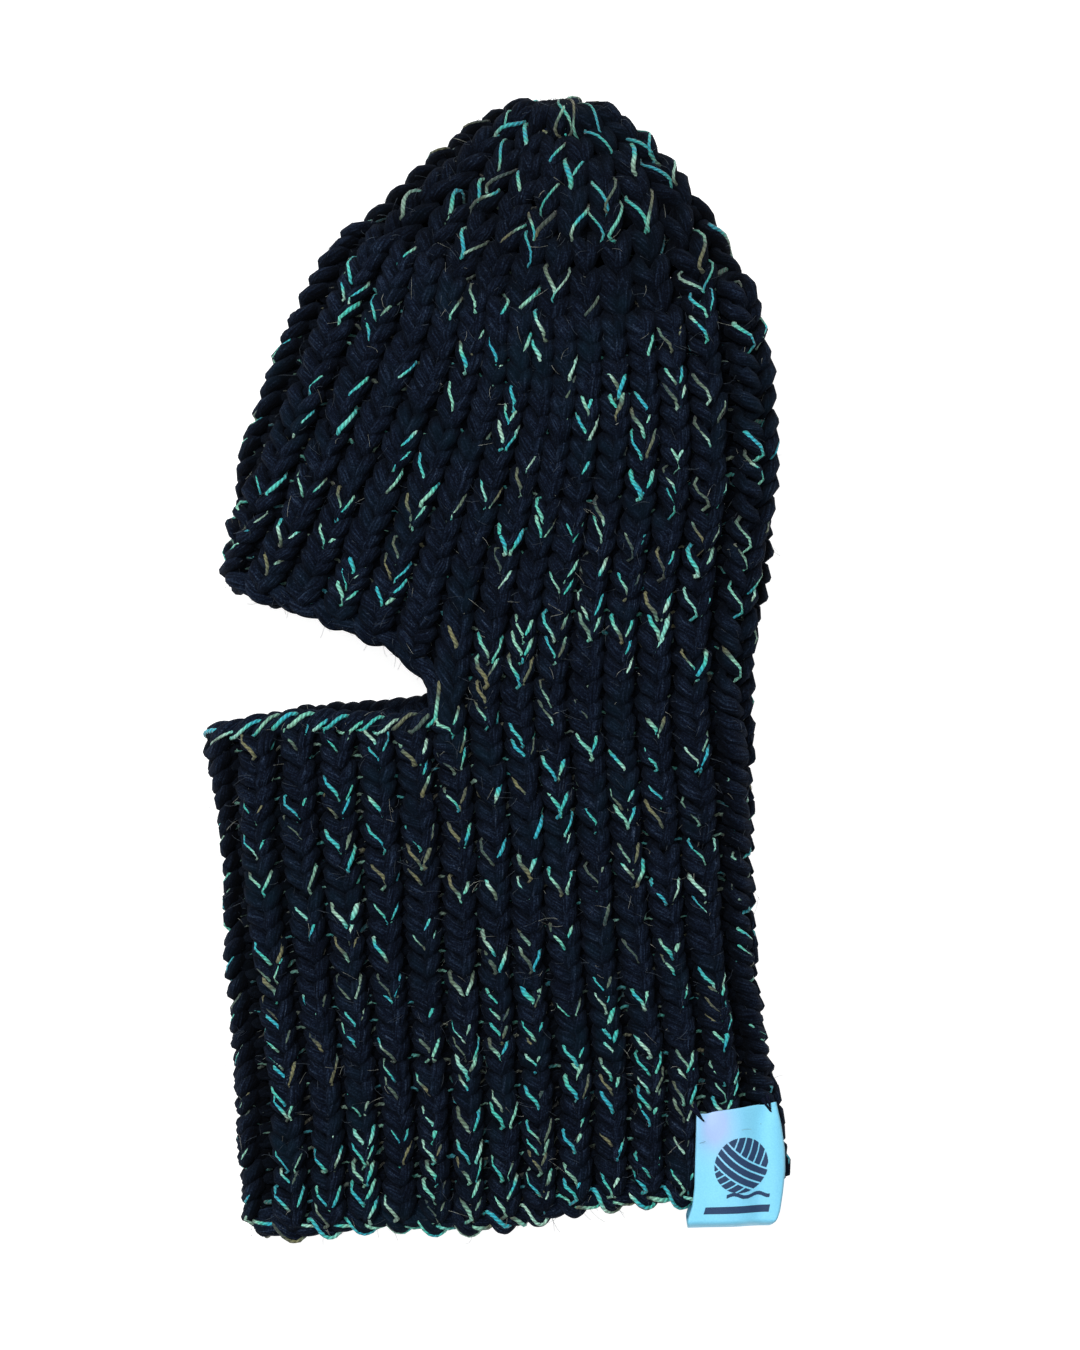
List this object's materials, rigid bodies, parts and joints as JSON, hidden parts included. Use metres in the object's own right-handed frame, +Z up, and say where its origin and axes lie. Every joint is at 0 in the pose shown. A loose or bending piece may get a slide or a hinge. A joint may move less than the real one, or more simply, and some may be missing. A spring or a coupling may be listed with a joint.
{
  "type": "balaclava",
  "caption": "Chunky hand-knit ribbed balaclava lying flat on its side: closed crown, wedge face opening, long neck and a folded label on the hem.",
  "frame": {"origin": "middle of the garment's footprint, on the table under the lower layer", "axes": "+X towards the back of the head, +Y towards the crown, +Z up from the table"},
  "size_m": [0.2039, 0.4018, 0.051],
  "materials": {
    "rib_knit": "hand-knit 1x1 rib in bulky near-black navy wool with one thin strand of variegated turquoise, mint and olive",
    "rib_knit_edges": "the same yarn at the cast-on hem, bound-off edges and drawn-in crown",
    "knitting_yarn": "woven-in ends of the same yarn",
    "sewing_yarn": "dark sewing yarn",
    "label_coated_fabric": "smooth light blue coated fabric, satin",
    "label_mark_ink": "dark slate print, matte"
  },
  "bodies": {
    "root": {"neck_hem_edge": "rib_knit_edges", "neck_lower": "rib_knit", "neck_upper": "rib_knit", "chin_edge": "rib_knit_edges", "brow_edge": "rib_knit_edges", "hood_lower": "rib_knit", "hood_upper": "rib_knit", "crown": "rib_knit", "crown_gather": "rib_knit_edges", "label": "label_coated_fabric", "label_mark": "label_mark_ink", "label_tack_front": "sewing_yarn", "label_tack_back": "sewing_yarn", "hem_yarn_end": "knitting_yarn", "crown_yarn_end": "knitting_yarn"}
  },
  "joints": []
}
